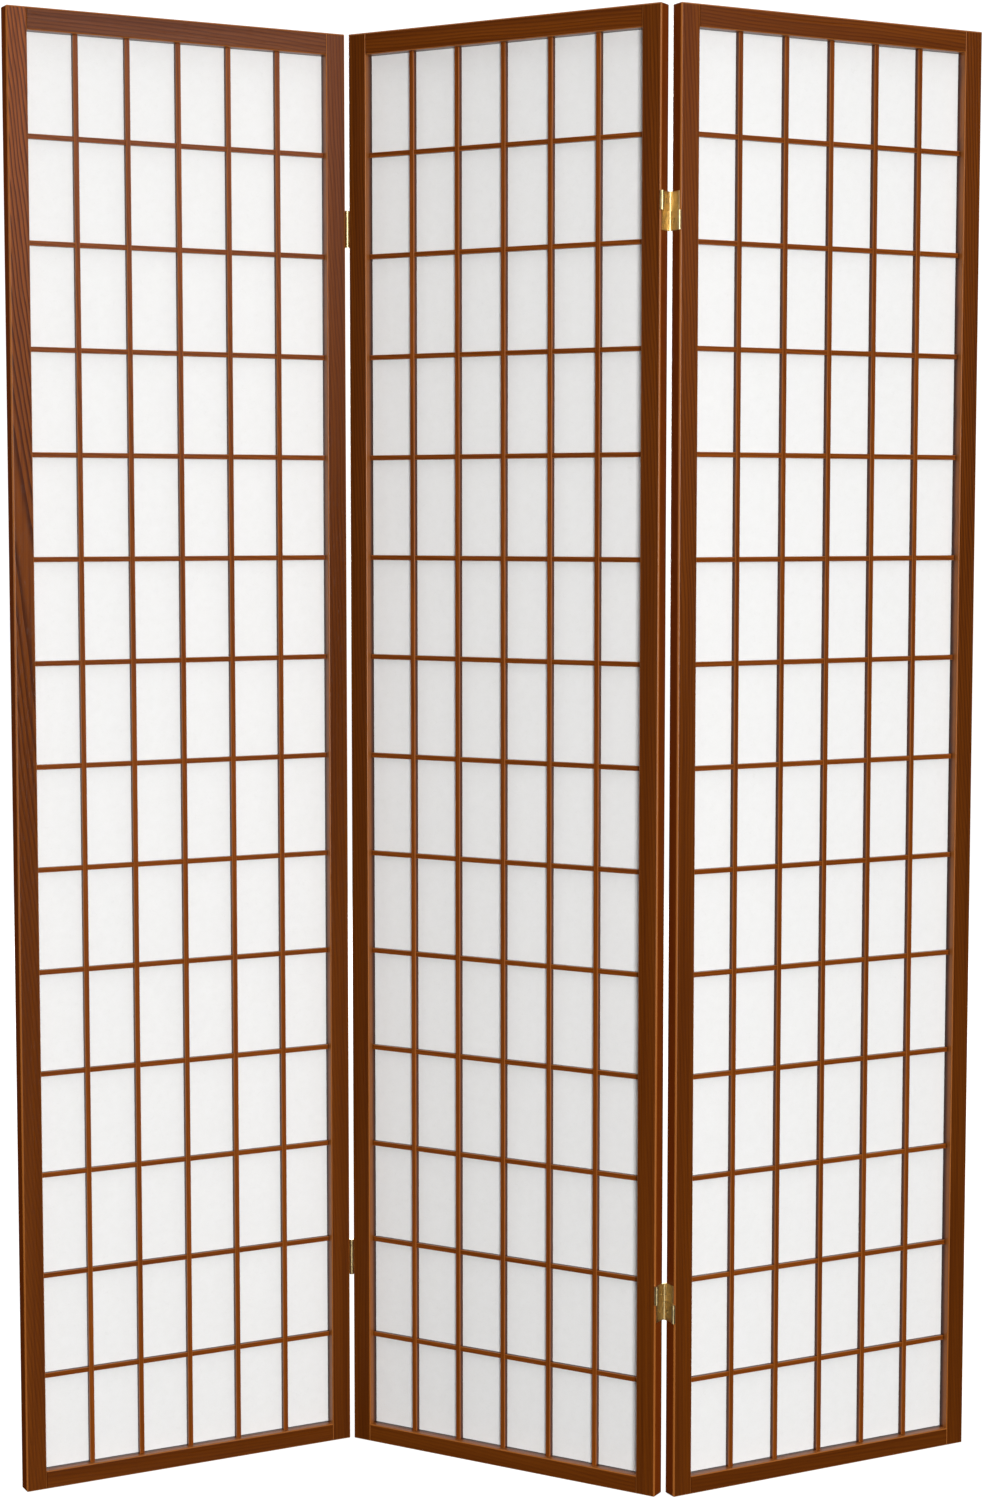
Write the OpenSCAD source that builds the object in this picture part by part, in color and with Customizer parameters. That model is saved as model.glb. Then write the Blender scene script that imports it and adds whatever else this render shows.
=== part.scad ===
// Three-panel folding screen in the shoji manner: wooden frames with a lapped
// lattice, paper behind it, and two-way brass hinges between the panels.
// Each panel is drawn in its own frame: x across the panel from its middle,
// y through it from front (-) to back (+), z up from the floor.
// The screen's origin is on the floor, under the middle of the middle panel.

/* [Panels] */
// Height of a panel
panel_h = 1784; // [1200:1:2200]
// Width of a panel
panel_w = 435; // [300:1:700]
// Thickness of the frame
frame_t = 20; // [17:0.5:26]
// Angle that each side panel is folded out of line with the middle one
fold_angle = 57.9; // [10:0.1:120]

/* [Frame] */
// Width of the two uprights
stile_w = 25.5; // [20:0.5:45]
// Height of the top rail
top_rail_h = 27; // [20:0.5:60]
// Height of the bottom rail
bottom_rail_h = 22.5; // [20:0.5:60]
// Radius of the outer edges of the frame
outer_edge_r = 2.5; // [1:0.25:3]
// Radius of the front edges around the opening
inner_edge_r = 1.5; // [0.5:0.25:2.5]
// Length of a rail's tenon
tenon_l = 12; // [6:0.5:15]
// Thickness of a rail's tenon
tenon_t = 6; // [4:0.5:7]
// Shoulder above and below a rail's tenon
tenon_shoulder = 5; // [3:0.5:7]

/* [Lattice] */
// Number of upright bars
upright_bars = 5; // [1:1:8]
// Number of cross bars
cross_bars = 13; // [2:1:16]
// Width of a bar, seen from the front
bar_w = 6; // [5:0.25:10]
// Chamfer on the front edges of a bar
bar_chamfer = 0.5; // [0.2:0.1:1]
// How far the upright bars lie behind the front of the frame
upright_inset = 7.7; // [6:0.1:9]
// How far the cross bars lie behind the front of the frame
cross_inset = 9.2; // [7:0.1:10]
// Thickness that a cross bar keeps where the bars are halved
lap_t = 2.9; // [1.5:0.1:4]
// How deep the ends of the bars are let into the frame
bar_housing = 3; // [2:0.5:4]
// How much lower the bottom row of panes is than the others
bottom_row_trim = 5; // [0:0.5:20]

/* [Paper] */
// Thickness of the paper
paper_t = 0.3; // [0.2:0.05:1]
// Distance from the front of the frame to the paper
paper_inset = 15; // [14:0.1:16]
// Width of the rebate that takes the paper, all round the opening
rebate_w = 5; // [4:0.5:8]
// Gap between the paper's edge and the side of the rebate
paper_gap = 0.5; // [0.2:0.1:1]

/* [Hinges] */
// Height of a hinge
hinge_h = 45.5; // [36:0.5:80]
// Distance from the top or bottom of the panel to the middle of a hinge
hinge_inset = 239; // [120:1:400]
// Thickness of the leaves and link plates
leaf_t = 1; // [0.8:0.1:1.4]
// Gap between a link plate and the leaf on each side of it
link_clearance = 0.4; // [0.2:0.05:3]
// Gap between a knuckle and the rounded edge of a frame
knuckle_side_gap = 0.3; // [0.3:0.05:0.5]
// Radius of a hinge pin
pin_r = 1.25; // [1:0.05:1.4]
// Clearance between a pin and its bore, all round
pin_clearance = 0.05; // [0.02:0.01:0.1]
// Gap between two knuckles on one pin
knuckle_gap = 0.2; // [0.1:0.05:0.5]
// Gap between a knuckle and a plate that runs past it
plate_clearance = 0.4; // [0.35:0.05:0.8]
// How far a hinge axis stands off the face of the frame
axis_proud = 0.5; // [0.3:0.1:1]
// Diameter of the hole in a link plate, over a screw
access_d = 6; // [5.4:0.1:7]

/* [Screws] */
// Diameter of a screw's head
screw_head_d = 5; // [4:0.1:5]
// Depth of a screw's countersunk head
screw_head_t = 1.5; // [1:0.1:2]
// Diameter of a screw's shank
screw_d = 2.4; // [2:0.1:3]
// Length of a screw, with its head
screw_l = 14; // [10:0.5:18]
// Clearance between a screw's shank and its hole, all round
screw_clearance = 0.05; // [0.02:0.01:0.1]
// Width of the arms of a screw's cross recess
recess_w = 0.8; // [0.6:0.1:1]
// Depth of a screw's cross recess
recess_t = 0.6; // [0.4:0.1:0.8]

/* [Hidden] */
$fn = 48;
arc_steps = 6;
through = 1;
left = -1;
right = 1;
knuckles_per_pin = 3;
pin_chamfer = 0.3;
recess_span = 3;

opening_w = panel_w - 2 * stile_w;
opening_h = panel_h - top_rail_h - bottom_rail_h;
column_pitch = (opening_w + bar_w) / (upright_bars + 1);
row_pitch = (opening_h + bar_w + bottom_row_trim) / (cross_bars + 1);
front_y = -frame_t / 2;
upright_y = front_y + upright_inset;
cross_y = front_y + cross_inset;
paper_y = front_y + paper_inset;
lap_y = paper_y - lap_t;

// The gap between two panels in line holds two leaves with a link plate between them
hinge_gap = 3 * leaf_t + 2 * link_clearance;
// Hinge axes: midway between the panels' edges, just off the front and back faces
axis_x = (panel_w + hinge_gap) / 2;
axis_y = frame_t / 2 + axis_proud;
half_hinge = hinge_h / 2;
// From a hinge axis to the rounded edges of the frames beside it
axis_to_edge = norm([hinge_gap / 2 + outer_edge_r, axis_proud + outer_edge_r]) - outer_edge_r;
knuckle_r = axis_to_edge - knuckle_side_gap;
knuckle_pitch = half_hinge / knuckles_per_pin;
knuckle_l = knuckle_pitch - knuckle_gap;
plate_reach = axis_y - knuckle_r - plate_clearance;
upper = panel_h - hinge_inset;
lower = hinge_inset;
hinge_levels = [upper, lower];
screw_levels = [half_hinge / 2, -half_hinge / 2];

wood = [0.42, 0.25, 0.14];
bar_wood = [0.5, 0.3, 0.17];
paper_white = [0.95, 0.94, 0.91];
brass = [0.83, 0.66, 0.3];
screw_brass = [0.72, 0.56, 0.25];

// ---- Where things stand ----

module in_middle_panel() {
    rotate([0, 0, -fold_angle / 2]) children();
}

module in_side_panel(side) {
    in_middle_panel()
        translate([side * axis_x, side * axis_y, 0])
            rotate([0, 0, fold_angle])
                translate([side * axis_x, -side * axis_y, 0])
                    children();
}

// A hinge is drawn as if its panels were in line: x = 0 midway between their
// edges, the middle panel on the -x side, the pivots at +axis_y and the link
// pins at -axis_y, and z = 0 at the hinge's mid height.
module on_middle_edge(side, level) {
    in_middle_panel()
        rotate([0, 0, side == right ? 0 : 180])
            translate([axis_x, 0, level])
                children();
}

module on_side_edge(side, level) {
    on_middle_edge(side, level)
        translate([0, axis_y, 0])
            rotate([0, 0, fold_angle])
                translate([0, -axis_y, 0])
                    children();
}

// ---- Frame ----

function corner_arc(x, y, r, start) = [
    for (i = [0 : arc_steps])
        let (a = start + 90 * i / arc_steps)
        [x + r * cos(a), y + r * sin(a)]
];

// Section from u = 0 at the outer edge to u = w at the inner edge, and from
// front to back of the frame; the inner back corner stays square.
module member_section(w) {
    ro = outer_edge_r;
    ri = inner_edge_r;
    back_y = frame_t / 2;
    polygon(concat(
        corner_arc(ro, front_y + ro, ro, 180),
        corner_arc(w - ri, front_y + ri, ri, 270),
        [[w, back_y]],
        corner_arc(ro, back_y - ro, ro, 90)
    ));
}

// Outline of the whole panel seen from one side, with rounded ends
module panel_side_outline() {
    r = outer_edge_r;
    y = frame_t / 2 - r;
    polygon(concat(
        corner_arc(y, r, r, 270), corner_arc(y, panel_h - r, r, 0),
        corner_arc(-y, panel_h - r, r, 90), corner_arc(-y, r, r, 180)
    ));
}

// Outline of the whole panel seen from the front, with rounded corners
module panel_front_outline() {
    r = outer_edge_r;
    x = panel_w / 2 - r;
    polygon(concat(
        corner_arc(x, r, r, 270), corner_arc(x, panel_h - r, r, 0),
        corner_arc(-x, panel_h - r, r, 90), corner_arc(-x, r, r, 180)
    ));
}

// Centres of the bars
function column_x(i) = -opening_w / 2 + i * column_pitch - bar_w / 2;
function row_z(i) = bottom_rail_h - bottom_row_trim + i * row_pitch - bar_w / 2;

// Pocket behind the opening that takes the paper
module paper_rebate() {
    translate([-opening_w / 2 - rebate_w, paper_y, bottom_rail_h - rebate_w])
        cube([opening_w + 2 * rebate_w, frame_t, opening_h + 2 * rebate_w]);
}

// Slots in the frame for the ends of all the bars
module bar_slots() {
    for (i = [1 : upright_bars])
        translate([column_x(i) - bar_w / 2, upright_y, bottom_rail_h - bar_housing])
            cube([bar_w, frame_t, opening_h + 2 * bar_housing]);
    for (i = [1 : cross_bars])
        translate([-opening_w / 2 - bar_housing, cross_y, row_z(i) - bar_w / 2])
            cube([opening_w + 2 * bar_housing, frame_t, bar_w]);
}

// Both tenons of a rail, in one bar that runs through the rail
module rail_tenons(z, h) {
    translate([-opening_w / 2 - tenon_l, -tenon_t / 2, z + tenon_shoulder])
        cube([opening_w + 2 * tenon_l, tenon_t, h - 2 * tenon_shoulder]);
}

module both_rails_tenons() {
    rail_tenons(0, bottom_rail_h);
    rail_tenons(panel_h - top_rail_h, top_rail_h);
}

module screw_pilots() {
    for (level = hinge_levels, dz = screw_levels)
        translate([0, 0, level + dz])
            rotate([0, 90, 0])
                cylinder(r = screw_d / 2 + screw_clearance, h = screw_l);
}

// Countersinks in the edge of a stile, under the screws' heads
module head_seats() {
    seat_t = screw_head_t - leaf_t;
    seat_r = screw_d / 2 + seat_t * (screw_head_d - screw_d) / (2 * screw_head_t);
    for (level = hinge_levels, dz = screw_levels)
        translate([0, 0, level + dz])
            rotate([0, 90, 0])
                cylinder(
                    r1 = seat_r + screw_clearance,
                    r2 = screw_d / 2 + screw_clearance,
                    h = seat_t
                );
}

// Upright on one side of a panel, with or without a hinge on its outer edge
module stile(side, hinged) {
    color(wood)
        difference() {
            intersection() {
                mirror([side == right ? 1 : 0, 0, 0])
                    translate([-panel_w / 2, 0, 0])
                        linear_extrude(panel_h) member_section(stile_w);
                rotate([90, 0, 90])
                    translate([0, 0, -panel_w])
                        linear_extrude(2 * panel_w) panel_side_outline();
                rotate([90, 0, 0])
                    translate([0, 0, -frame_t])
                        linear_extrude(2 * frame_t) panel_front_outline();
            }
            paper_rebate();
            bar_slots();
            both_rails_tenons();
            if (hinged)
                mirror([side == right ? 1 : 0, 0, 0])
                    translate([-panel_w / 2, 0, 0]) {
                        screw_pilots();
                        head_seats();
                    }
        }
}

// Rail between the stiles, with its outer edge at z = 0
module rail_body(h) {
    rotate([0, -90, 0])
        linear_extrude(opening_w, center = true) member_section(h);
}

module bottom_rail() {
    color(wood)
        difference() {
            union() {
                rail_body(bottom_rail_h);
                rail_tenons(0, bottom_rail_h);
            }
            paper_rebate();
            bar_slots();
        }
}

module top_rail() {
    color(wood)
        difference() {
            union() {
                translate([0, 0, panel_h])
                    mirror([0, 0, 1])
                        rail_body(top_rail_h);
                rail_tenons(panel_h - top_rail_h, top_rail_h);
            }
            paper_rebate();
            bar_slots();
        }
}

// ---- Lattice and paper ----

// Section of a bar: u across it, v from its front to its back
module bar_section(depth) {
    c = bar_chamfer;
    w = bar_w / 2;
    polygon([[-w + c, 0], [w - c, 0], [w, c], [w, depth], [-w, depth], [-w, c]]);
}

module upright_bar_group() {
    color(bar_wood)
        for (i = [1 : upright_bars])
            translate([column_x(i), 0, 0])
                difference() {
                    translate([0, upright_y, bottom_rail_h - bar_housing])
                        linear_extrude(opening_h + 2 * bar_housing)
                            bar_section(paper_y - upright_y);
                    for (k = [1 : cross_bars])
                        translate([-bar_w, lap_y, row_z(k) - bar_w / 2])
                            cube([2 * bar_w, frame_t, bar_w]);
                }
}

module cross_bar_group() {
    color(bar_wood)
        for (i = [1 : cross_bars])
            translate([0, 0, row_z(i)])
                difference() {
                    translate([0, cross_y, 0])
                        rotate([0, -90, 0])
                            linear_extrude(opening_w + 2 * bar_housing, center = true)
                                bar_section(paper_y - cross_y);
                    for (k = [1 : upright_bars])
                        translate([column_x(k) - bar_w / 2, cross_y - through, -bar_w])
                            cube([bar_w, lap_y - cross_y + through, 2 * bar_w]);
                }
}

module paper() {
    over = rebate_w - paper_gap;
    color(paper_white)
        translate([-opening_w / 2 - over, paper_y, bottom_rail_h - over])
            cube([opening_w + 2 * over, paper_t, opening_h + 2 * over]);
}

// ---- Hinges ----

// Height of the lower end of a knuckle's place in the upper half of a hinge
function slot_z(slot) = slot * knuckle_pitch + knuckle_gap / 2;

module knuckle(y, slot) {
    translate([0, y, slot_z(slot)]) cylinder(r = knuckle_r, h = knuckle_l);
}

module pin_bore(y) {
    translate([0, y, -through])
        cylinder(r = pin_r + pin_clearance, h = half_hinge + 2 * through);
}

// The two outer knuckles of one half of a leaf, with the tabs that carry them;
// the half is drawn above z = 0 and its axis is at the given y
module leaf_knuckles(y) {
    for (slot = [0, knuckles_per_pin - 1]) {
        knuckle(y, slot);
        translate([-hinge_gap / 2, min(0, y), slot_z(slot)])
            cube([leaf_t, abs(y), knuckle_l]);
    }
}

// Leaf of the middle panel: its upper half turns on the link pin, its lower
// half on the pivot. The side panel's leaf is the same piece, turned round.
module leaf() {
    color(brass)
        difference() {
            union() {
                translate([-hinge_gap / 2, -plate_reach, -half_hinge])
                    cube([leaf_t, 2 * plate_reach, hinge_h]);
                leaf_knuckles(-axis_y);
                translate([0, 0, -half_hinge]) leaf_knuckles(axis_y);
            }
            pin_bore(-axis_y);
            translate([0, 0, -half_hinge - through]) pin_bore(axis_y);
            for (dz = screw_levels)
                translate([leaf_t - hinge_gap / 2, 0, dz])
                    rotate([0, -90, 0])
                        screw_blank(screw_clearance);
        }
}

// Plate in the middle of the gap that joins the two leaves of one half
module link() {
    color(brass)
        difference() {
            union() {
                translate([-leaf_t / 2, -plate_reach, knuckle_gap / 2])
                    cube([leaf_t, 2 * plate_reach, half_hinge - knuckle_gap]);
                translate([-leaf_t / 2, -axis_y, slot_z(1)])
                    cube([leaf_t, 2 * axis_y, knuckle_l]);
                knuckle(-axis_y, 1);
                knuckle(axis_y, 1);
            }
            pin_bore(-axis_y);
            pin_bore(axis_y);
            translate([-knuckle_r, 0, half_hinge / 2])
                rotate([0, 90, 0])
                    cylinder(d = access_d, h = 2 * knuckle_r);
        }
}

// Pin through one half of a hinge, with chamfered ends
module pin(y) {
    color(screw_brass)
        translate([0, y, knuckle_gap / 2])
            rotate_extrude()
                polygon([
                    [0, 0], [pin_r - pin_chamfer, 0], [pin_r, pin_chamfer],
                    [pin_r, half_hinge - knuckle_gap - pin_chamfer],
                    [pin_r - pin_chamfer, half_hinge - knuckle_gap],
                    [0, half_hinge - knuckle_gap]
                ]);
}

// Countersunk screw without its recess, pointing along +z from its head
module screw_blank(clearance) {
    translate([0, 0, -clearance])
        cylinder(r = screw_head_d / 2 + clearance, h = clearance);
    cylinder(
        r1 = screw_head_d / 2 + clearance,
        r2 = screw_d / 2 + clearance,
        h = screw_head_t
    );
    cylinder(r = screw_d / 2 + clearance, h = screw_l);
}

module screw() {
    color(screw_brass)
        difference() {
            screw_blank(0);
            for (turn = [0, 90])
                rotate(turn)
                    translate([-recess_span / 2, -recess_w / 2, -through])
                        cube([recess_span, recess_w, recess_t + through]);
        }
}

// The two screws that hold one leaf
module leaf_screws() {
    for (dz = screw_levels)
        translate([leaf_t - hinge_gap / 2, 0, dz])
            rotate([0, -90, 0])
                screw();
}

module middle_leaf(side, level) {
    on_middle_edge(side, level) leaf();
}

module side_leaf(side, level) {
    on_side_edge(side, level) rotate(180) leaf();
}

module upper_link(side, level) {
    on_middle_edge(side, level) link();
}

module lower_link(side, level) {
    on_side_edge(side, level - half_hinge) link();
}

module upper_pivot_pin(side, level) {
    on_middle_edge(side, level) pin(axis_y);
}

module lower_pivot_pin(side, level) {
    on_middle_edge(side, level - half_hinge) pin(axis_y);
}

module upper_link_pin(side, level) {
    on_middle_edge(side, level) pin(-axis_y);
}

module lower_link_pin(side, level) {
    on_side_edge(side, level - half_hinge) pin(-axis_y);
}

module middle_panel_screws() {
    for (side = [left, right], level = hinge_levels)
        on_middle_edge(side, level) leaf_screws();
}

module side_panel_screws(side) {
    for (level = hinge_levels)
        on_side_edge(side, level) rotate(180) leaf_screws();
}

// ---- The screen ----

in_side_panel(left) stile(left, hinged = false);  // left_panel_left_stile
in_side_panel(left) stile(right, hinged = true);  // left_panel_right_stile
in_side_panel(left) top_rail();  // left_panel_top_rail
in_side_panel(left) bottom_rail();  // left_panel_bottom_rail
in_side_panel(left) upright_bar_group();  // left_panel_upright_bars
in_side_panel(left) cross_bar_group();  // left_panel_cross_bars
in_side_panel(left) paper();  // left_panel_paper

in_middle_panel() stile(left, hinged = true);  // middle_panel_left_stile
in_middle_panel() stile(right, hinged = true);  // middle_panel_right_stile
in_middle_panel() top_rail();  // middle_panel_top_rail
in_middle_panel() bottom_rail();  // middle_panel_bottom_rail
in_middle_panel() upright_bar_group();  // middle_panel_upright_bars
in_middle_panel() cross_bar_group();  // middle_panel_cross_bars
in_middle_panel() paper();  // middle_panel_paper

in_side_panel(right) stile(left, hinged = true);  // right_panel_left_stile
in_side_panel(right) stile(right, hinged = false);  // right_panel_right_stile
in_side_panel(right) top_rail();  // right_panel_top_rail
in_side_panel(right) bottom_rail();  // right_panel_bottom_rail
in_side_panel(right) upright_bar_group();  // right_panel_upright_bars
in_side_panel(right) cross_bar_group();  // right_panel_cross_bars
in_side_panel(right) paper();  // right_panel_paper

side_panel_screws(left);  // left_panel_screws
middle_panel_screws();
side_panel_screws(right);  // right_panel_screws

middle_leaf(left, upper);  // upper_left_hinge_middle_leaf
side_leaf(left, upper);  // upper_left_hinge_side_leaf
upper_link(left, upper);  // upper_left_hinge_upper_link
lower_link(left, upper);  // upper_left_hinge_lower_link
upper_pivot_pin(left, upper);  // upper_left_hinge_upper_pivot_pin
lower_pivot_pin(left, upper);  // upper_left_hinge_lower_pivot_pin
upper_link_pin(left, upper);  // upper_left_hinge_upper_link_pin
lower_link_pin(left, upper);  // upper_left_hinge_lower_link_pin

middle_leaf(right, upper);  // upper_right_hinge_middle_leaf
side_leaf(right, upper);  // upper_right_hinge_side_leaf
upper_link(right, upper);  // upper_right_hinge_upper_link
lower_link(right, upper);  // upper_right_hinge_lower_link
upper_pivot_pin(right, upper);  // upper_right_hinge_upper_pivot_pin
lower_pivot_pin(right, upper);  // upper_right_hinge_lower_pivot_pin
upper_link_pin(right, upper);  // upper_right_hinge_upper_link_pin
lower_link_pin(right, upper);  // upper_right_hinge_lower_link_pin

middle_leaf(left, lower);  // lower_left_hinge_middle_leaf
side_leaf(left, lower);  // lower_left_hinge_side_leaf
upper_link(left, lower);  // lower_left_hinge_upper_link
lower_link(left, lower);  // lower_left_hinge_lower_link
upper_pivot_pin(left, lower);  // lower_left_hinge_upper_pivot_pin
lower_pivot_pin(left, lower);  // lower_left_hinge_lower_pivot_pin
upper_link_pin(left, lower);  // lower_left_hinge_upper_link_pin
lower_link_pin(left, lower);  // lower_left_hinge_lower_link_pin

middle_leaf(right, lower);  // lower_right_hinge_middle_leaf
side_leaf(right, lower);  // lower_right_hinge_side_leaf
upper_link(right, lower);  // lower_right_hinge_upper_link
lower_link(right, lower);  // lower_right_hinge_lower_link
upper_pivot_pin(right, lower);  // lower_right_hinge_upper_pivot_pin
lower_pivot_pin(right, lower);  // lower_right_hinge_lower_pivot_pin
upper_link_pin(right, lower);  // lower_right_hinge_upper_link_pin
lower_link_pin(right, lower);  // lower_right_hinge_lower_link_pin
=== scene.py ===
"""Looks of the three-panel shoji folding screen: stained wood, paper and brass on the CAD nodes.

Everything is in metres, in the CAD's own frame: x to the right, y away from the viewer, z up.
"""
import math

import bpy
import numpy as np
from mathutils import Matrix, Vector


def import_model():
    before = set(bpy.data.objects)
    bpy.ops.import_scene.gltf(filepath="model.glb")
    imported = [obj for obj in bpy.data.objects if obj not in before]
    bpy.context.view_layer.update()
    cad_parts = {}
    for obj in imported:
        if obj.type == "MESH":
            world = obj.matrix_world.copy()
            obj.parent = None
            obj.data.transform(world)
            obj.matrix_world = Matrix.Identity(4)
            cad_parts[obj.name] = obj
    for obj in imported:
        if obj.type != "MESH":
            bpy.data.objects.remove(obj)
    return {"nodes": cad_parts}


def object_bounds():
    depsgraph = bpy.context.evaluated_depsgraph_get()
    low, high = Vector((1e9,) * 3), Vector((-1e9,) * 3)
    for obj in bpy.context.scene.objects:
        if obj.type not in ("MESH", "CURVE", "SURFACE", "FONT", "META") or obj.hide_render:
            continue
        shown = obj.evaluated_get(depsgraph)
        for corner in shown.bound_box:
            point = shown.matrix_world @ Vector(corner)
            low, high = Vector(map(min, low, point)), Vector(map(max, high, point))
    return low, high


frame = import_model()
cad_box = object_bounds()

MM = 0.001

# ---- Camera ----
CAMERA_AT = Vector((0.0610, -3.3938, 1.1865))
CAMERA_DOWN = math.radians(4.796)
CAMERA_LEFT = math.radians(1.270)
CAMERA_LENS = 66.442
CAMERA_FILM = 36.0

# ---- Studio ----
WHITE = (1.0, 1.0, 1.0)
FLOOR_SIZE = 60.0
FLOOR_DARKER = (0.30, 0.30, 0.30)
FLOOR_PALER = (0.32, 0.32, 0.32)
FLOOR_GLOW = 0.9
FLOOR_CELLS = 1.5
FLOOR_LEVELS = (0.3, 0.7)
# Height on the sky dome, from 0 at the horizon to 1 overhead, where its light begins
DOME_FROM = 0.45
# Height of the point that a softbox looks at, on the screen's middle line
AIM_HEIGHT = 0.9

# ---- Colours, as linear red, green and blue ----
STAIN_LIGHT = (0.165, 0.040, 0.0036)
STAIN_MID = (0.128, 0.029, 0.0023)
STAIN_DARK = (0.062, 0.0110, 0.0010)
# Paler stain for roundings and the fronts of inner sides: partly wear, partly a painted highlight
EDGE_WEAR_AND_HIGHLIGHT = (0.400, 0.128, 0.022)
# Painted light: a lighter, redder stain that brightens the outer side faces of each panel
PAINTED_OUTSIDE_LIGHT = (0.230, 0.040, 0.0036)
PAPER_WHITE = (0.895, 0.893, 0.885)
PAPER_FIBRE = (0.80, 0.795, 0.78)
BRASS = (0.64, 0.49, 0.24)
BRASS_DULL = (0.48, 0.36, 0.17)

# ---- Stain: how light it is at the foot and at the top of a board, the top lighter by painted light ----
# Each board's own tone, with painted light making most boards lighter at the top than at the foot
TONE_AND_TOP_LIGHT = {
    "left_panel_left_stile": (0.98, 1.98), "left_panel_right_stile": (0.93, 1.28),
    "middle_panel_left_stile": (0.93, 0.93), "middle_panel_right_stile": (0.98, 1.0),
    "right_panel_left_stile": (0.94, 1.28), "right_panel_right_stile": (0.89, 1.25),
}
PLAIN_TONE_AND_TOP_LIGHT = (1.0, 1.2)
BAR_TONE_AND_TOP_LIGHT = (1.52, 1.65)
# Heights between which the tone changes from the foot's to the top's, as the painted light at the top fades
# in
TOP_LIGHT_HEIGHTS = (0.9, 1.9)
# Share by which a board that isn't listed above is at most lighter or darker than the plain tones, and the
# turn, in radians, from one board's place in that spread to the next one's
TONE_SPREAD = 0.06
TONE_TURN = 2.9

# ---- Figure: how strongly a board's growth rings show ----
FIGURE = {"left_panel_left_stile": 1.0, "right_panel_right_stile": 0.5}
PLAIN_FIGURE = 0.3
# Share of the rings' colour at the foot, what a full figure adds at the top, and the heights between
FIGURE_LEAST = 0.25
FIGURE_GAIN = 0.7
FIGURE_HEIGHTS = (0.5, 1.3)
LATE_WOOD_SHADE = 0.7

# ---- Growth rings ----
RINGS_PER_METRE = 230.0
# How far the rings of a full figure lean across a board, for each metre along it
LEAN = 0.14
# Where the pith lies: how far left of the panel's middle line (or, for a level board, below the floor)
# and how far in front of the panel's mid-plane, each with what it differs by from board to board and
# the turn, in radians, from one board to the next
PITH_ASIDE = 0.055
PITH_ASIDE_SPREAD = 0.02
PITH_ASIDE_TURN = 5.1
PITH_IN_FRONT = 0.03
PITH_IN_FRONT_SPREAD = 0.012
PITH_IN_FRONT_TURN = 3.3
# Slow wander and fine ripple of the rings: noise cells per metre, the noise's swing in metres, and how
# far apart in the noise one board and the next are
WANDER_CELLS = 1.6
WANDER_SWING = 0.05
WANDER_STEP = (3.1, 0.7)
RIPPLE_CELLS_ALONG = 9.0
RIPPLE_CELLS_ACROSS = 60.0
RIPPLE_SWING = 0.006
RIPPLE_STEP = 1.9
# Shares of a ring's width between which its late wood begins, and between which it ends
LATE_WOOD_BEGINS = (0.3, 0.8)
LATE_WOOD_ENDS = (1.0, 0.9)

# ---- Grain: noise cells per metre along, across and through a board ----
CLOUD_CELLS = (1.6, 45.0, 45.0)
STREAK_CELLS = (2.4, 240.0, 240.0)
FIBRE_CELLS = (22.0, 1500.0, 1500.0)
PORE_CELLS = (70.0, 2600.0, 2600.0)
# How far apart in the noise one board and the next are
BOARD_STEP = (3.7, 0.61, 0.37)
# Levels of each noise between which its own colour comes in, and how much of that colour is mixed in
CLOUD_LEVELS = (0.32, 0.68)
STREAK_LEVELS = (0.42, 0.75)
STREAK_SHARE = 0.6
FIBRE_LEVELS = (0.35, 0.7)
FIBRE_SHARE = 0.35
PORE_LEVELS = (0.63, 0.74)
PORE_SHARE = 0.5
GLOSS_LEVELS = (0.3, 0.7)
LACQUER_ROUGHNESS = (0.27, 0.33)
LACQUER_SPECULAR = 0.2
# Depth of the grain's relief, and the parts that fibres and pores have in it
GRAIN_RELIEF = 0.06 * MM
FIBRE_HEIGHT = 0.35
PORE_DEPTH = 0.8

# ---- Painted light and shade, wear and joints of the wood ----
# How much a face looks forwards or backwards (1) or sideways (0): between the first two values it
# becomes a side, and a rounding begins and ends between the others
SIDE_FACING = (0.3, 0.1)
ROUNDING_BEGINS = (0.985, 0.9)
ROUNDING_ENDS = (0.15, 0.35)
# Distances before the stile's inner side between which a level board's end darkens to a joint line
JOINT_LINE = (1.0 * MM, 0.4 * MM)
JOINT_SHARE = 0.75
# Distances from the panel's own two ends between which a side becomes one of its outsides
OUTSIDE_BAND = (3 * MM, 1 * MM)
# Share of the painted light on the outer side faces
PAINTED_OUTSIDE_LIGHT_SHARE = 0.6
# Distances behind the lattice side between which an inner side's paler front ends, partly wear and partly
# painted highlight
FRONT_WEAR_AND_HIGHLIGHT_BAND = (10 * MM, 5 * MM)
FRONT_WEAR_AND_HIGHLIGHT_SHARE = 0.5
ROUNDING_WEAR_AND_HIGHLIGHT_SHARE = 0.8
# Distances in front of the paper between which painted shade darkens the inner sides
PAINTED_SHADE_BAND = (6.5 * MM, 3 * MM)
PAINTED_SHADE_SHARE = 0.9
PAINTED_SHADE_DARKNESS = 0.5

# ---- Paper ----
CLOUDS_PER_METRE = 90.0
PAPER_CLOUD_LEVELS = (0.3, 0.72)
PAPER_CLOUD_SHARE = 0.22
# Noise cells per metre, and the width in the noise, of each set of fibres
FIBRE_SETS = ((150.0, 0.016), (230.0, 0.02), (100.0, 0.011))
FIBRE_CURL = 0.6
PAPER_FIBRE_SHARE = 0.35
# Cells of the patches in which fibres show, as a share of the fibres' own, and the levels between
# which a patch fades in
FIBRE_PATCHES = 0.8
FIBRE_PATCH_LEVELS = (0.46, 0.62)
# How far apart in the noise two sheets, and two sets of fibres, are
SHEET_STEP = (1.3, 0.7, 2.1)
FIBRE_SET_STEP = (0.37, 0.11, 0.23)
PAPER_RELIEF = 0.12 * MM
PAPER_SCATTER = (1.0 * MM, 1.0 * MM, 0.9 * MM)

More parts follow.
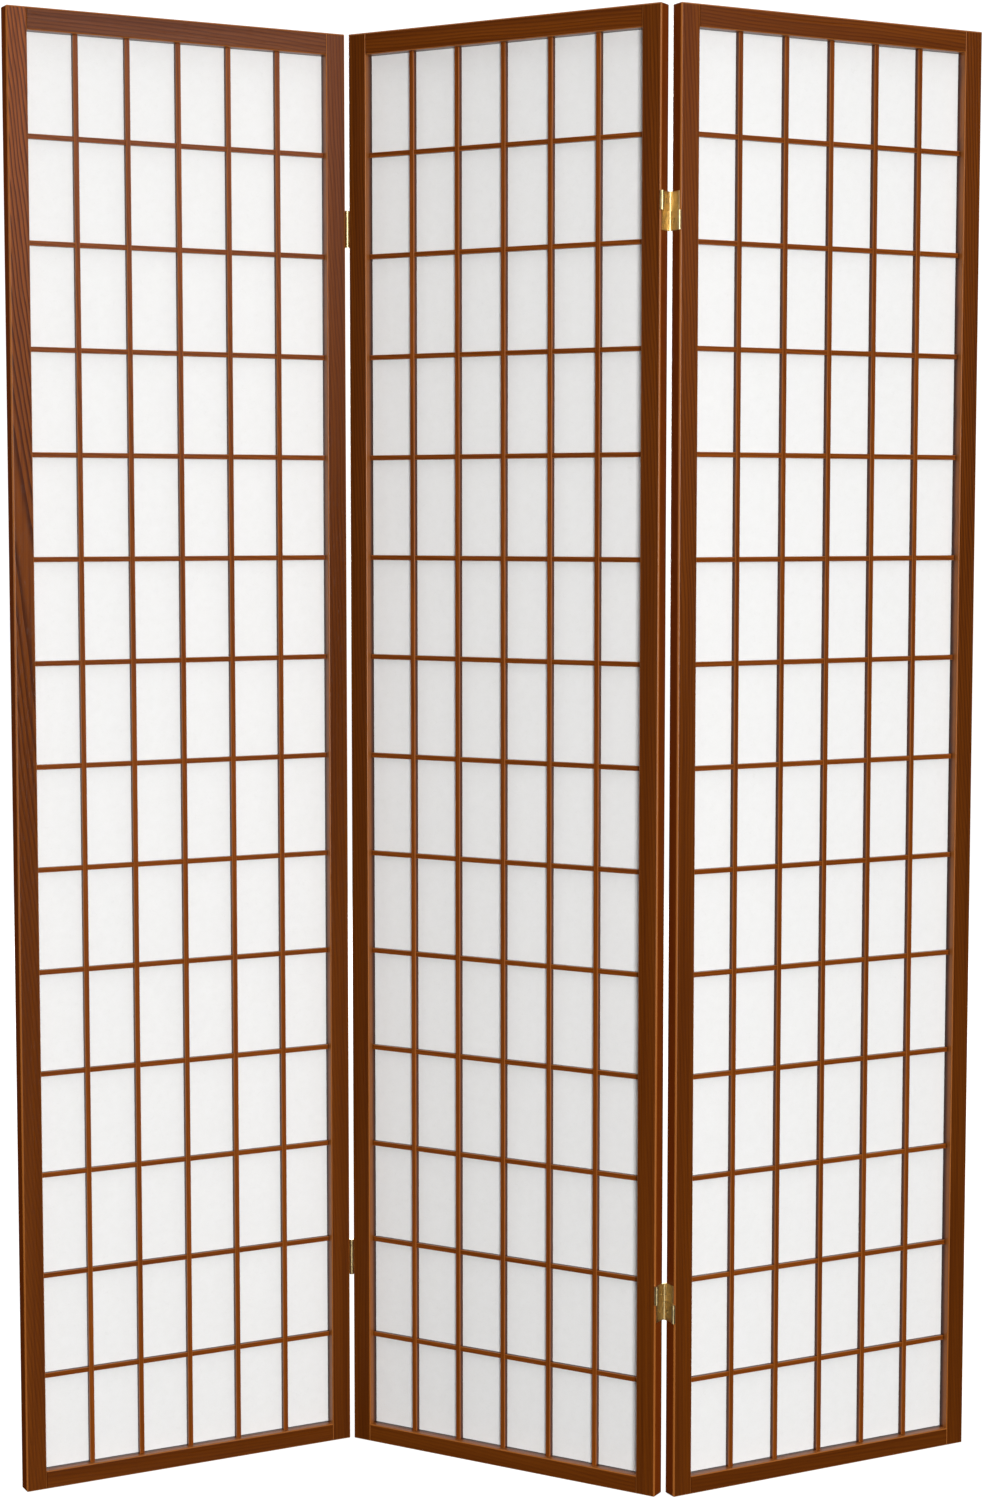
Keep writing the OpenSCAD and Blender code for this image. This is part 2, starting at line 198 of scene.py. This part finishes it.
# ---- Brass ----
DULL_PATCHES_PER_METRE = 160.0
DULL_LEVELS = (0.4, 0.75)
DULL_SHARE = 0.55
DULL_ROUGHER = 0.15
RUB_CELLS = (4000.0, 4000.0, 260.0)
RUB_LEVELS = (0.3, 0.7)
# What the rubbing marks add to the roughness, at the first level and at the second
RUB_ROUGHNESS = (-0.06, 0.08)
RUB_RELIEF = 0.03 * MM
HINGE_ROUGHNESS = 0.36
PIN_ROUGHNESS = 0.28
SCREW_ROUGHNESS = 0.36


def steps(count, step):
    """A shift in the noise of that many steps, so that no two boards or sheets are alike."""
    return tuple(count * part for part in step)


class Graph:
    """The node tree of a material or a world, with short names for the nodes that are used here."""

    # A colour Mix node's sockets: its factor, its two colours, and the colour that it gives
    MIX_FACTOR = 0
    MIX_COLOURS = (6, 7)
    MIX_RESULT = 2

    def __init__(self, owner):
        owner.use_nodes = True
        self.owner = owner
        self.tree = owner.node_tree
        self.tree.nodes.clear()

    def node(self, kind, settings=None, **inputs):
        made = self.tree.nodes.new(kind)
        for key, value in (settings or {}).items():
            setattr(made, key, value)
        for key, value in inputs.items():
            self.feed(made.inputs[key.replace("_", " ")], value)
        return made

    def feed(self, socket, value):
        """Links a socket to another, or sets its value; a colour may be given without its alpha."""
        if isinstance(value, bpy.types.NodeSocket):
            self.tree.links.new(value, socket)
        elif socket.type == "RGBA":
            socket.default_value = (*value, 1.0)
        else:
            socket.default_value = value

    def feed_all(self, made, values):
        """Feeds a node's first sockets in their order."""
        for socket, value in zip(made.inputs, values):
            self.feed(socket, value)

    def math(self, operation, *values):
        made = self.node("ShaderNodeMath", {"operation": operation})
        self.feed_all(made, values)
        return made.outputs[0]

    def vector(self, operation, a, b):
        made = self.node("ShaderNodeVectorMath", {"operation": operation})
        self.feed(made.inputs[0], a)
        self.feed(made.inputs["Scale" if operation == "SCALE" else 1], b)
        return made.outputs["Value" if operation == "DOT_PRODUCT" else "Vector"]

    def noise(self, where, scale, detail, rough, warp=0.0):
        made = self.node("ShaderNodeTexNoise", Vector=where, Scale=scale, Detail=detail,
                         Roughness=rough, Distortion=warp)
        return made.outputs["Fac"]

    def grain(self, where, cells, detail, rough):
        """Noise with its own number of cells per metre in each direction."""
        return self.noise(self.vector("MULTIPLY", where, cells), 1.0, detail, rough)

    def between(self, value, low, high, to_low=0.0, to_high=1.0, curve="SMOOTHSTEP"):
        """Goes from to_low to to_high as the value goes from low to high."""
        made = self.node("ShaderNodeMapRange", {"interpolation_type": curve})
        self.feed_all(made, (value, low, high, to_low, to_high))
        return made.outputs[0]

    def mix(self, share, a, b):
        """Colour a with a share of colour b."""
        made = self.node("ShaderNodeMix", {"data_type": "RGBA"})
        self.feed(made.inputs[self.MIX_FACTOR], share)
        for index, colour in zip(self.MIX_COLOURS, (a, b)):
            self.feed(made.inputs[index], colour)
        return made.outputs[self.MIX_RESULT]

    def bump(self, height, depth, strength):
        return self.node("ShaderNodeBump", Height=height, Distance=depth, Strength=strength).outputs[0]

    def finish(self, **inputs):
        shader = self.node("ShaderNodeBsdfPrincipled", **inputs)
        self.node("ShaderNodeOutputMaterial", Surface=shader.outputs[0])
        return self.owner


class Panel:
    """Where one panel stands in plan: x along it to the right, y through it from its lattice side."""

    def __init__(self, name):
        rail = self.plan(name + "_top_rail")
        spread = np.cov((rail - rail.mean(axis=0)).T)
        along = np.linalg.eigh(spread)[1][:, 1]
        along = along if along[0] > 0 else -along
        self.angle = math.atan2(along[1], along[0])
        self.turn = np.array([along, [-along[1], along[0]]])
        pieces = (name + "_left_stile", name + "_right_stile", name + "_paper")
        left, right, paper = (self.plan(piece) @ self.turn.T for piece in pieces)
        corners = np.vstack([left, right])
        low, high = corners.min(axis=0), corners.max(axis=0)
        self.middle = (low + high) / 2
        self.half_w, self.half_t = (high - low) / 2
        self.paper_front = (paper - self.middle)[:, 1].min()
        self.shoulder = -(left - self.middle)[:, 0].max()

    @staticmethod
    def plan(node):
        return np.array([v.co[:2] for v in frame["nodes"][node].data.vertices])

    def place(self, g):
        """Sockets of x, y and z in the panel's own axes."""
        at = g.node("ShaderNodeTexCoord").outputs["Object"]
        turned = g.node("ShaderNodeVectorRotate", {"rotation_type": "Z_AXIS"}, Vector=at, Angle=-self.angle)
        middle = (float(self.middle[0]), float(self.middle[1]), 0.0)
        return g.node("ShaderNodeSeparateXYZ", Vector=g.vector("SUBTRACT", turned.outputs[0], middle)).outputs

    def faces_front(self, g):
        """1 on a face that looks forwards or backwards, 0 on the edges, and between on their roundings."""
        normal = g.node("ShaderNodeTexCoord").outputs["Normal"]
        through = (float(self.turn[1][0]), float(self.turn[1][1]), 0.0)
        return g.math("ABSOLUTE", g.vector("DOT_PRODUCT", normal, through))


def growth_rings(g, along, across, deep, seed, figure):
    """Dark late wood of rings round a pith that wanders along the board."""
    shift = steps(seed, WANDER_STEP)
    slow = g.node("ShaderNodeCombineXYZ", X=g.math("MULTIPLY", along, WANDER_CELLS),
                  Y=shift[0], Z=shift[1])
    wander = g.math("SUBTRACT", g.noise(slow.outputs[0], 1.0, detail=1.0, rough=0.4), 0.5)
    fine = g.node("ShaderNodeCombineXYZ", X=g.math("MULTIPLY", along, RIPPLE_CELLS_ALONG),
                  Y=g.math("MULTIPLY", across, RIPPLE_CELLS_ACROSS), Z=seed * RIPPLE_STEP)
    ripple = g.noise(fine.outputs[0], 1.0, detail=2.0, rough=0.5)
    sway = g.math("MULTIPLY", wander, WANDER_SWING)
    sway = g.math("ADD", sway, g.math("MULTIPLY", ripple, RIPPLE_SWING))
    sway = g.math("ADD", sway, g.math("MULTIPLY", along, LEAN * figure))
    pith_aside = PITH_ASIDE + PITH_ASIDE_SPREAD * math.sin(seed * PITH_ASIDE_TURN)
    pith_in_front = PITH_IN_FRONT + PITH_IN_FRONT_SPREAD * math.cos(seed * PITH_IN_FRONT_TURN)
    side = g.math("ADD", g.math("ADD", across, sway), pith_aside)
    depth = g.math("ADD", deep, pith_in_front)
    radius = g.math("SQRT", g.math("ADD", g.math("MULTIPLY", side, side), g.math("MULTIPLY", depth, depth)))
    ring = g.math("FRACT", g.math("MULTIPLY", radius, RINGS_PER_METRE))
    return g.math("MULTIPLY", g.between(ring, *LATE_WOOD_BEGINS), g.between(ring, *LATE_WOOD_ENDS))


def wood(name, panel, upright, seed, tone, figure):
    """Walnut-stained timber under satin lacquer: rings, fibres, pores, painted light towards the top, and
    edges with painted shade, painted light and wear.
    """
    g = Graph(bpy.data.materials.new(name))
    x, y, z = panel.place(g)
    along, across = (z, x) if upright else (x, z)
    joined = g.node("ShaderNodeCombineXYZ", X=along, Y=across, Z=y)
    where = g.vector("ADD", joined.outputs[0], steps(seed, BOARD_STEP))
    late = growth_rings(g, along, across, y, seed, figure)
    cloud = g.grain(where, CLOUD_CELLS, detail=2.0, rough=0.5)
    fibre = g.grain(where, FIBRE_CELLS, detail=3.0, rough=0.6)
    streak = g.grain(where, STREAK_CELLS, detail=4.0, rough=0.65)
    pores = g.between(g.grain(where, PORE_CELLS, detail=1.0, rough=0.5), *PORE_LEVELS)

    # Painted light: boards grow lighter towards the top where light and sheen fell stronger; the ends also
    # hold each board's own tone
    tone_and_top_light = g.between(z, *TOP_LIGHT_HEIGHTS, *tone)
    light, mid, dark = (g.vector("SCALE", stain, tone_and_top_light) for stain in (STAIN_LIGHT, STAIN_MID, STAIN_DARK))
    colour = g.mix(g.between(cloud, *CLOUD_LEVELS), mid, light)
    colour = g.mix(g.between(streak, *STREAK_LEVELS, 0.0, STREAK_SHARE), colour, dark)
    colour = g.mix(g.between(fibre, *FIBRE_LEVELS, 0.0, FIBRE_SHARE), colour, mid)
    bold = g.between(z, *FIGURE_HEIGHTS, FIGURE_LEAST, FIGURE_LEAST + FIGURE_GAIN * figure)
    colour = g.mix(g.math("MULTIPLY", late, bold), colour, g.vector("SCALE", dark, LATE_WOOD_SHADE))
    colour = g.mix(g.math("MULTIPLY", pores, PORE_SHARE), colour, dark)
    if not upright:
        joint = g.between(g.math("ABSOLUTE", x), *(panel.shoulder - gap for gap in JOINT_LINE))
        colour = g.mix(g.math("MULTIPLY", joint, JOINT_SHARE), colour, dark)
    colour = painted_light_shade_and_wear(g, panel, x, y, colour, dark)

    hollows = g.math("MULTIPLY", pores, PORE_DEPTH)
    height = g.math("SUBTRACT", g.math("MULTIPLY", fibre, FIBRE_HEIGHT), hollows)
    rough = g.between(streak, *GLOSS_LEVELS, *LACQUER_ROUGHNESS)
    return g.finish(Base_Color=colour, Roughness=rough, Specular_IOR_Level=LACQUER_SPECULAR,
                    Normal=g.bump(height, GRAIN_RELIEF, strength=0.7))


def painted_light_shade_and_wear(g, panel, x, y, colour, dark):
    """Painted shade beside the paper, painted light on the outsides, and paler stain on roundings and inner
    sides' fronts, partly wear and partly painted highlight.
    """
    front = panel.faces_front(g)
    side = g.between(front, *SIDE_FACING)
    rounding = g.math("MULTIPLY", g.between(front, *ROUNDING_BEGINS), g.between(front, *ROUNDING_ENDS))
    half_w, half_t, paper_front = float(panel.half_w), float(panel.half_t), float(panel.paper_front)
    outside = g.between(g.math("ABSOLUTE", x), *(half_w - gap for gap in OUTSIDE_BAND))
    inner = g.math("MULTIPLY", side, g.math("SUBTRACT", 1.0, outside))
    front_wear_and_highlight = g.math("MULTIPLY", inner, g.between(y, *(gap - half_t for gap in FRONT_WEAR_AND_HIGHLIGHT_BAND)))
    # Painted shade: the inner sides darken towards the paper, in the recess where shade falls
    painted_shade = g.math("MULTIPLY", inner, g.between(y, *(paper_front - gap for gap in PAINTED_SHADE_BAND)))

    colour = g.mix(g.math("MULTIPLY", painted_shade, PAINTED_SHADE_SHARE), colour, g.vector("SCALE", dark, PAINTED_SHADE_DARKNESS))
    # Painted light: the outer side faces are made lighter and redder
    painted_outside_light = g.math("MULTIPLY", g.math("MULTIPLY", side, outside), PAINTED_OUTSIDE_LIGHT_SHARE)
    colour = g.mix(painted_outside_light, colour, PAINTED_OUTSIDE_LIGHT)
    # Paler stain on roundings and inner sides' fronts: partly wear, partly painted highlight
    wear_and_highlight = g.math("MAXIMUM", g.math("MULTIPLY", rounding, ROUNDING_WEAR_AND_HIGHLIGHT_SHARE),
                  g.math("MULTIPLY", front_wear_and_highlight, FRONT_WEAR_AND_HIGHLIGHT_SHARE))
    return g.mix(wear_and_highlight, colour, EDGE_WEAR_AND_HIGHLIGHT)


def shoji_paper(name, seed):
    """White paper with long fine fibres in it."""
    g = Graph(bpy.data.materials.new(name))
    at = g.node("ShaderNodeTexCoord").outputs["Object"]
    where = g.vector("ADD", at, steps(seed, SHEET_STEP))
    cloud = g.noise(where, CLOUDS_PER_METRE, detail=5.0, rough=0.7)
    fibres = 0.0
    for k, (scale, width) in enumerate(FIBRE_SETS):
        shifted = g.vector("ADD", where, steps(k, FIBRE_SET_STEP))
        swirl = g.noise(shifted, scale, detail=1.0, rough=0.4, warp=FIBRE_CURL)
        curve = g.math("ABSOLUTE", g.math("SUBTRACT", swirl, 0.5))
        line = g.between(curve, width, 0.0)
        cells = scale * FIBRE_PATCHES
        patch = g.between(g.noise(shifted, cells, detail=1.0, rough=0.5), *FIBRE_PATCH_LEVELS)
        fibres = g.math("MAXIMUM", fibres, g.math("MULTIPLY", line, patch))
    cloudy = g.between(cloud, *PAPER_CLOUD_LEVELS, 0.0, PAPER_CLOUD_SHARE)
    colour = g.mix(cloudy, PAPER_WHITE, PAPER_FIBRE)
    colour = g.mix(g.math("MULTIPLY", fibres, PAPER_FIBRE_SHARE), colour, PAPER_FIBRE)
    height = g.math("ADD", g.math("MULTIPLY", cloud, 0.5), g.math("MULTIPLY", fibres, 0.5))
    return g.finish(Base_Color=colour, Roughness=0.85, Specular_IOR_Level=0.15, Subsurface_Weight=0.15,
                    Subsurface_Radius=PAPER_SCATTER, Subsurface_Scale=1.0,
                    Normal=g.bump(height, PAPER_RELIEF, strength=0.5))


def brass(name, roughness):
    """Plated pressed brass with fine rubbing marks and slightly dull patches."""
    g = Graph(bpy.data.materials.new(name))
    where = g.node("ShaderNodeTexCoord").outputs["Object"]
    patch = g.between(g.noise(where, DULL_PATCHES_PER_METRE, detail=4.0, rough=0.6), *DULL_LEVELS)
    rub = g.grain(where, RUB_CELLS, detail=2.0, rough=0.6)
    colour = g.mix(g.math("MULTIPLY", patch, DULL_SHARE), BRASS, BRASS_DULL)
    rough = g.math("ADD", g.math("MULTIPLY", patch, DULL_ROUGHER), roughness)
    rough = g.math("ADD", g.between(rub, *RUB_LEVELS, *RUB_ROUGHNESS), rough)
    return g.finish(Base_Color=colour, Metallic=1.0, Roughness=rough,
                    Normal=g.bump(rub, RUB_RELIEF, strength=0.5))


def board(name, panel, seed):
    """The wood of one board, or of a panel's upright or cross bars."""
    upright = name.endswith(("_stile", "_upright_bars"))
    plain = BAR_TONE_AND_TOP_LIGHT if name.endswith("_bars") else PLAIN_TONE_AND_TOP_LIGHT
    lighter = 1.0 + TONE_SPREAD * math.sin(seed * TONE_TURN)
    # The tone's top end carries painted light as well as the board's own tone
    tone = TONE_AND_TOP_LIGHT.get(name, tuple(end * lighter for end in plain))
    return wood("wood_" + name, panel, upright, seed, tone, FIGURE.get(name, PLAIN_FIGURE))


def dress():
    """Gives every CAD node its material."""
    panels = {side: Panel(side + "_panel") for side in ("left", "middle", "right")}
    plate = brass("hinge_brass", HINGE_ROUGHNESS)
    pins = brass("pin_brass", PIN_ROUGHNESS)
    screws = brass("screw_brass", SCREW_ROUGHNESS)
    for seed, (name, obj) in enumerate(sorted(frame["nodes"].items())):
        if name.endswith("_screws"):
            material = screws
        elif name.endswith("_pin"):
            material = pins
        elif "_hinge_" in name:
            material = plate
        elif name.endswith("_paper"):
            material = shoji_paper("paper_" + name, seed)
        else:
            material = board(name, panels[name.split("_")[0]], seed)
        obj.data.materials.clear()
        obj.data.materials.append(material)


def camera():
    """Looks slightly down at the screen from a little to the right of its middle."""
    data = bpy.data.cameras.new("camera")
    data.lens = CAMERA_LENS
    data.sensor_width = CAMERA_FILM
    obj = bpy.data.objects.new("camera", data)
    bpy.context.scene.collection.objects.link(obj)
    obj.location = CAMERA_AT
    obj.rotation_euler = (math.pi / 2 - CAMERA_DOWN, 0.0, CAMERA_LEFT)
    bpy.context.scene.camera = obj


def softbox(name, azimuth, height, distance, size, power, aim=AIM_HEIGHT):
    """A square soft light; azimuth is in degrees to the right of the viewer's side."""
    data = bpy.data.lights.new(name, "AREA")
    data.shape = "SQUARE"
    data.size = size
    data.energy = power
    obj = bpy.data.objects.new(name, data)
    bpy.context.scene.collection.objects.link(obj)
    turn = math.radians(azimuth)
    obj.location = (distance * math.sin(turn), -distance * math.cos(turn), height)
    to_middle = Vector((0.0, 0.0, aim)) - obj.location
    obj.rotation_euler = to_middle.to_track_quat("-Z", "Y").to_euler()


def world(seen, low, high):
    """White behind the object; a soft dome, brighter overhead, lights it."""
    made = bpy.data.worlds.new("studio")
    g = Graph(made)
    place = g.node("ShaderNodeTexCoord").outputs["Generated"]
    up = g.node("ShaderNodeSeparateXYZ", Vector=place).outputs["Z"]
    dome = g.between(up, DOME_FROM, 1.0, low, high, curve="LINEAR")
    lighting = g.node("ShaderNodeBackground", Color=WHITE, Strength=dome)
    behind = g.node("ShaderNodeBackground", Color=WHITE, Strength=seen)
    camera_ray = g.node("ShaderNodeLightPath").outputs["Is Camera Ray"]
    mix = g.node("ShaderNodeMixShader")
    g.feed_all(mix, (camera_ray, lighting.outputs[0], behind.outputs[0]))
    g.node("ShaderNodeOutputWorld", Surface=mix.outputs[0])
    bpy.context.scene.world = made


def floor():
    """A plain pale floor that neither lights the object nor shows in its gloss."""
    g = Graph(bpy.data.materials.new("floor_pale"))
    where = g.node("ShaderNodeTexCoord").outputs["Object"]
    tone = g.between(g.noise(where, FLOOR_CELLS, detail=3.0, rough=0.5), *FLOOR_LEVELS)
    material = g.finish(Base_Color=g.mix(tone, FLOOR_DARKER, FLOOR_PALER), Roughness=0.9,
                        Specular_IOR_Level=0.0, Emission_Color=WHITE, Emission_Strength=FLOOR_GLOW)
    bpy.ops.mesh.primitive_plane_add(size=FLOOR_SIZE, location=(0.0, 0.0, cad_box[0][2]))
    obj = bpy.context.object
    obj.name = "floor"
    obj.data.materials.append(material)
    obj.visible_diffuse = False
    obj.visible_glossy = False


camera()
world(seen=1.15, low=0.0, high=1.3)
softbox("key", azimuth=10, height=1.2, distance=6.0, size=1.7, power=308)
softbox("side", azimuth=45, height=2.6, distance=4.5, size=1.6, power=28, aim=1.0)
softbox("left", azimuth=-86, height=1.3, distance=3.5, size=1.5, power=15)
softbox("back", azimuth=186, height=1.8, distance=5.0, size=2.0, power=175)
floor()
dress()
bpy.context.scene.view_settings.view_transform = "Standard"
